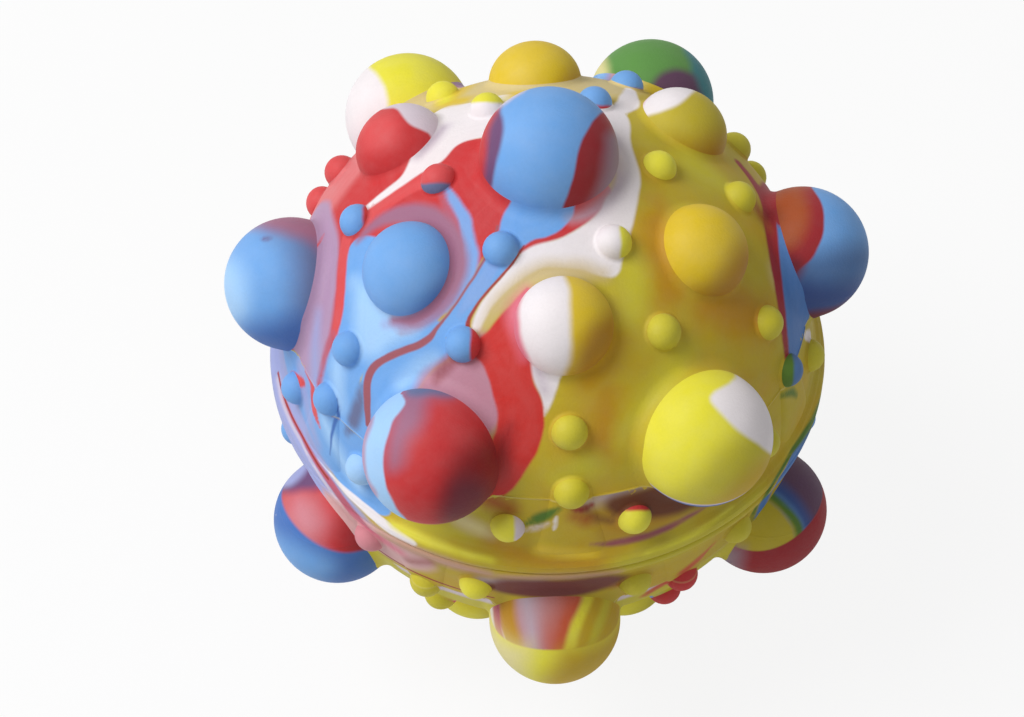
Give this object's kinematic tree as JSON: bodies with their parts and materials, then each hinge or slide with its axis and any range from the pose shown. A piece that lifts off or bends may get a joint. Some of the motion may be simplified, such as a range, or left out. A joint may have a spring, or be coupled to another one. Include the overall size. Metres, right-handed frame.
{
  "type": "sensory ball",
  "caption": "Round hollow sensory ball of marbled soft silicone, with rows of domed bubbles that push inwards, small nubs between them and a seam round its middle.",
  "frame": {"origin": "centre of the ball, in the plane of the seam that joins its two halves", "axes": "+Z runs along the pole, square to the seam, through the crown bubble that the picture shows on top; -Y faces the side that the picture shows, and +X is to its right"},
  "size_m": [0.073, 0.0728, 0.0792],
  "materials": {
    "marbled": "matte moulded silicone",
    "bond": "matte moulded silicone",
    "blue": "matte moulded silicone",
    "red": "matte moulded silicone",
    "yellow": "matte moulded silicone",
    "golden": "matte moulded silicone",
    "olive": "matte moulded silicone",
    "white": "matte moulded silicone",
    "green": "matte moulded silicone",
    "purple": "matte moulded silicone"
  },
  "bodies": {
    "body": {"upper_shell": "marbled", "lower_shell": "marbled", "bond_ring": "bond"},
    "upper_crown_bubble": {"upper_crown_bubble": "blue"},
    "lower_crown_bubble": {"lower_crown_bubble": "yellow"},
    "upper_large_bubble_1": {"upper_large_bubble_1": "yellow"},
    "lower_large_bubble_1": {"lower_large_bubble_1": "purple"},
    "upper_large_bubble_2": {"upper_large_bubble_2": "blue"},
    "lower_large_bubble_2": {"lower_large_bubble_2": "green"},
    "upper_large_bubble_3": {"upper_large_bubble_3": "green"},
    "lower_large_bubble_3": {"lower_large_bubble_3": "blue"},
    "upper_large_bubble_4": {"upper_large_bubble_4": "yellow"},
    "lower_large_bubble_4": {"lower_large_bubble_4": "yellow"},
    "upper_large_bubble_5": {"upper_large_bubble_5": "blue"},
    "lower_large_bubble_5": {"lower_large_bubble_5": "red"},
    "upper_large_bubble_6": {"upper_large_bubble_6": "red"},
    "lower_large_bubble_6": {"lower_large_bubble_6": "yellow"},
    "upper_small_bubble_1": {"upper_small_bubble_1": "white"},
    "lower_small_bubble_1": {"lower_small_bubble_1": "yellow"},
    "upper_small_bubble_2": {"upper_small_bubble_2": "golden"},
    "lower_small_bubble_2": {"lower_small_bubble_2": "green"},
    "upper_small_bubble_3": {"upper_small_bubble_3": "olive"},
    "lower_small_bubble_3": {"lower_small_bubble_3": "blue"},
    "upper_small_bubble_4": {"upper_small_bubble_4": "golden"},
    "lower_small_bubble_4": {"lower_small_bubble_4": "golden"},
    "upper_small_bubble_5": {"upper_small_bubble_5": "red"},
    "lower_small_bubble_5": {"lower_small_bubble_5": "red"},
    "upper_small_bubble_6": {"upper_small_bubble_6": "blue"},
    "lower_small_bubble_6": {"lower_small_bubble_6": "yellow"}
  },
  "joints": [
    {"name": "upper_crown_bubble_push", "type": "slide", "parent": "body", "child": "upper_crown_bubble", "axis": [0, 0, -1], "range_m": [0, 0.013]},
    {"name": "lower_crown_bubble_push", "type": "slide", "parent": "body", "child": "lower_crown_bubble", "axis": [0, 0, 1], "range_m": [0, 0.013]},
    {"name": "upper_large_bubble_1_push", "type": "slide", "parent": "body", "child": "upper_large_bubble_1", "axis": [-0.4513, 0.7817, -0.4305], "range_m": [0, 0.013]},
    {"name": "lower_large_bubble_1_push", "type": "slide", "parent": "body", "child": "lower_large_bubble_1", "axis": [-0.757, 0.4916, 0.4305], "range_m": [0, 0.013]},
    {"name": "upper_large_bubble_2_push", "type": "slide", "parent": "body", "child": "upper_large_bubble_2", "axis": [-0.9026, 0, -0.4305], "range_m": [0, 0.013]},
    {"name": "lower_large_bubble_2_push", "type": "slide", "parent": "body", "child": "lower_large_bubble_2", "axis": [-0.8042, -0.4098, 0.4305], "range_m": [0, 0.013]},
    {"name": "upper_large_bubble_3_push", "type": "slide", "parent": "body", "child": "upper_large_bubble_3", "axis": [-0.4513, -0.7817, -0.4305], "range_m": [0, 0.013]},
    {"name": "lower_large_bubble_3_push", "type": "slide", "parent": "body", "child": "lower_large_bubble_3", "axis": [-0.0472, -0.9013, 0.4305], "range_m": [0, 0.013]},
    {"name": "upper_large_bubble_4_push", "type": "slide", "parent": "body", "child": "upper_large_bubble_4", "axis": [0.4513, -0.7817, -0.4305], "range_m": [0, 0.013]},
    {"name": "lower_large_bubble_4_push", "type": "slide", "parent": "body", "child": "lower_large_bubble_4", "axis": [0.757, -0.4916, 0.4305], "range_m": [0, 0.013]},
    {"name": "upper_large_bubble_5_push", "type": "slide", "parent": "body", "child": "upper_large_bubble_5", "axis": [0.9026, 0, -0.4305], "range_m": [0, 0.013]},
    {"name": "lower_large_bubble_5_push", "type": "slide", "parent": "body", "child": "lower_large_bubble_5", "axis": [0.8042, 0.4098, 0.4305], "range_m": [0, 0.013]},
    {"name": "upper_large_bubble_6_push", "type": "slide", "parent": "body", "child": "upper_large_bubble_6", "axis": [0.4513, 0.7817, -0.4305], "range_m": [0, 0.013]},
    {"name": "lower_large_bubble_6_push", "type": "slide", "parent": "body", "child": "lower_large_bubble_6", "axis": [0.0472, 0.9013, 0.4305], "range_m": [0, 0.013]},
    {"name": "upper_small_bubble_1_push", "type": "slide", "parent": "body", "child": "upper_small_bubble_1", "axis": [0, 0.5807, -0.8141], "range_m": [0, 0.0092]},
    {"name": "lower_small_bubble_1_push", "type": "slide", "parent": "body", "child": "lower_small_bubble_1", "axis": [-0.2636, 0.5174, 0.8141], "range_m": [0, 0.0092]},
    {"name": "upper_small_bubble_2_push", "type": "slide", "parent": "body", "child": "upper_small_bubble_2", "axis": [-0.5029, 0.2904, -0.8141], "range_m": [0, 0.0092]},
    {"name": "lower_small_bubble_2_push", "type": "slide", "parent": "body", "child": "lower_small_bubble_2", "axis": [-0.5799, 0.0304, 0.8141], "range_m": [0, 0.0092]},
    {"name": "upper_small_bubble_3_push", "type": "slide", "parent": "body", "child": "upper_small_bubble_3", "axis": [-0.5029, -0.2904, -0.8141], "range_m": [0, 0.0092]},
    {"name": "lower_small_bubble_3_push", "type": "slide", "parent": "body", "child": "lower_small_bubble_3", "axis": [-0.3163, -0.487, 0.8141], "range_m": [0, 0.0092]},
    {"name": "upper_small_bubble_4_push", "type": "slide", "parent": "body", "child": "upper_small_bubble_4", "axis": [0, -0.5807, -0.8141], "range_m": [0, 0.0092]},
    {"name": "lower_small_bubble_4_push", "type": "slide", "parent": "body", "child": "lower_small_bubble_4", "axis": [0.2636, -0.5174, 0.8141], "range_m": [0, 0.0092]},
    {"name": "upper_small_bubble_5_push", "type": "slide", "parent": "body", "child": "upper_small_bubble_5", "axis": [0.5029, -0.2904, -0.8141], "range_m": [0, 0.0092]},
    {"name": "lower_small_bubble_5_push", "type": "slide", "parent": "body", "child": "lower_small_bubble_5", "axis": [0.5799, -0.0304, 0.8141], "range_m": [0, 0.0092]},
    {"name": "upper_small_bubble_6_push", "type": "slide", "parent": "body", "child": "upper_small_bubble_6", "axis": [0.5029, 0.2904, -0.8141], "range_m": [0, 0.0092]},
    {"name": "lower_small_bubble_6_push", "type": "slide", "parent": "body", "child": "lower_small_bubble_6", "axis": [0.3163, 0.487, 0.8141], "range_m": [0, 0.0092]}
  ]
}
